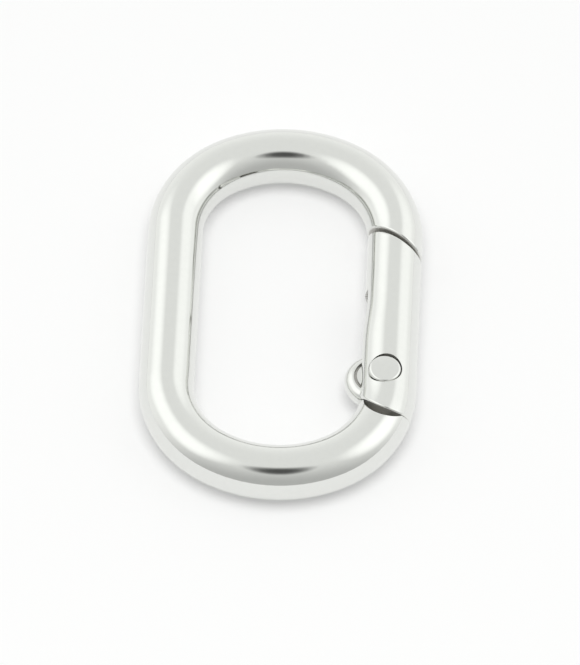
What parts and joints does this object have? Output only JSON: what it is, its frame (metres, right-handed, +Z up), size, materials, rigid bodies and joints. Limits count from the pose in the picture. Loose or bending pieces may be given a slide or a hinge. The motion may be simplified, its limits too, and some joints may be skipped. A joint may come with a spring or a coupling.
{
  "type": "carabiner",
  "caption": "Oval ring of round metal stock with one long side as a spring-shut gate, for joining straps, cords, rings and charms.",
  "frame": {"origin": "under the centre of the oval, on the plane that the ring lies on", "axes": "+Y along the oval towards the gate's nose, +X towards the gate, +Z up out of the plane the ring lies on"},
  "size_m": [0.025, 0.04, 0.005],
  "materials": {
    "nickel_plate": "zinc alloy casting, polished and plated with bright nickel",
    "spring_steel": "hard drawn spring wire, bright",
    "turned_steel": "fine turned steel"
  },
  "bodies": {
    "ring": {"ring_body": "nickel_plate"},
    "gate": {"gate": "nickel_plate", "rivet_pin": "nickel_plate", "gate_spring": "spring_steel"},
    "follower": {"plunger": "turned_steel"}
  },
  "joints": [
    {"name": "gate_hinge", "type": "hinge", "parent": "ring", "child": "gate", "pos_m": [0.0096, -0.0072, 0.0025], "axis": [0, 0, 1], "range_deg": [0, 45], "stiffness_Nm_per_rad": 0.006, "springref_deg": -45.84},
    {"name": "plunger_slide", "type": "slide", "parent": "gate", "child": "follower", "axis": [0, 1, 0], "range_m": [0, 0.00072], "deforming": ["gate_spring"]}
  ],
  "couplings": [
    {"joint": "plunger_slide", "follows": "gate_hinge", "m_per_rad": 0.0009003}
  ]
}
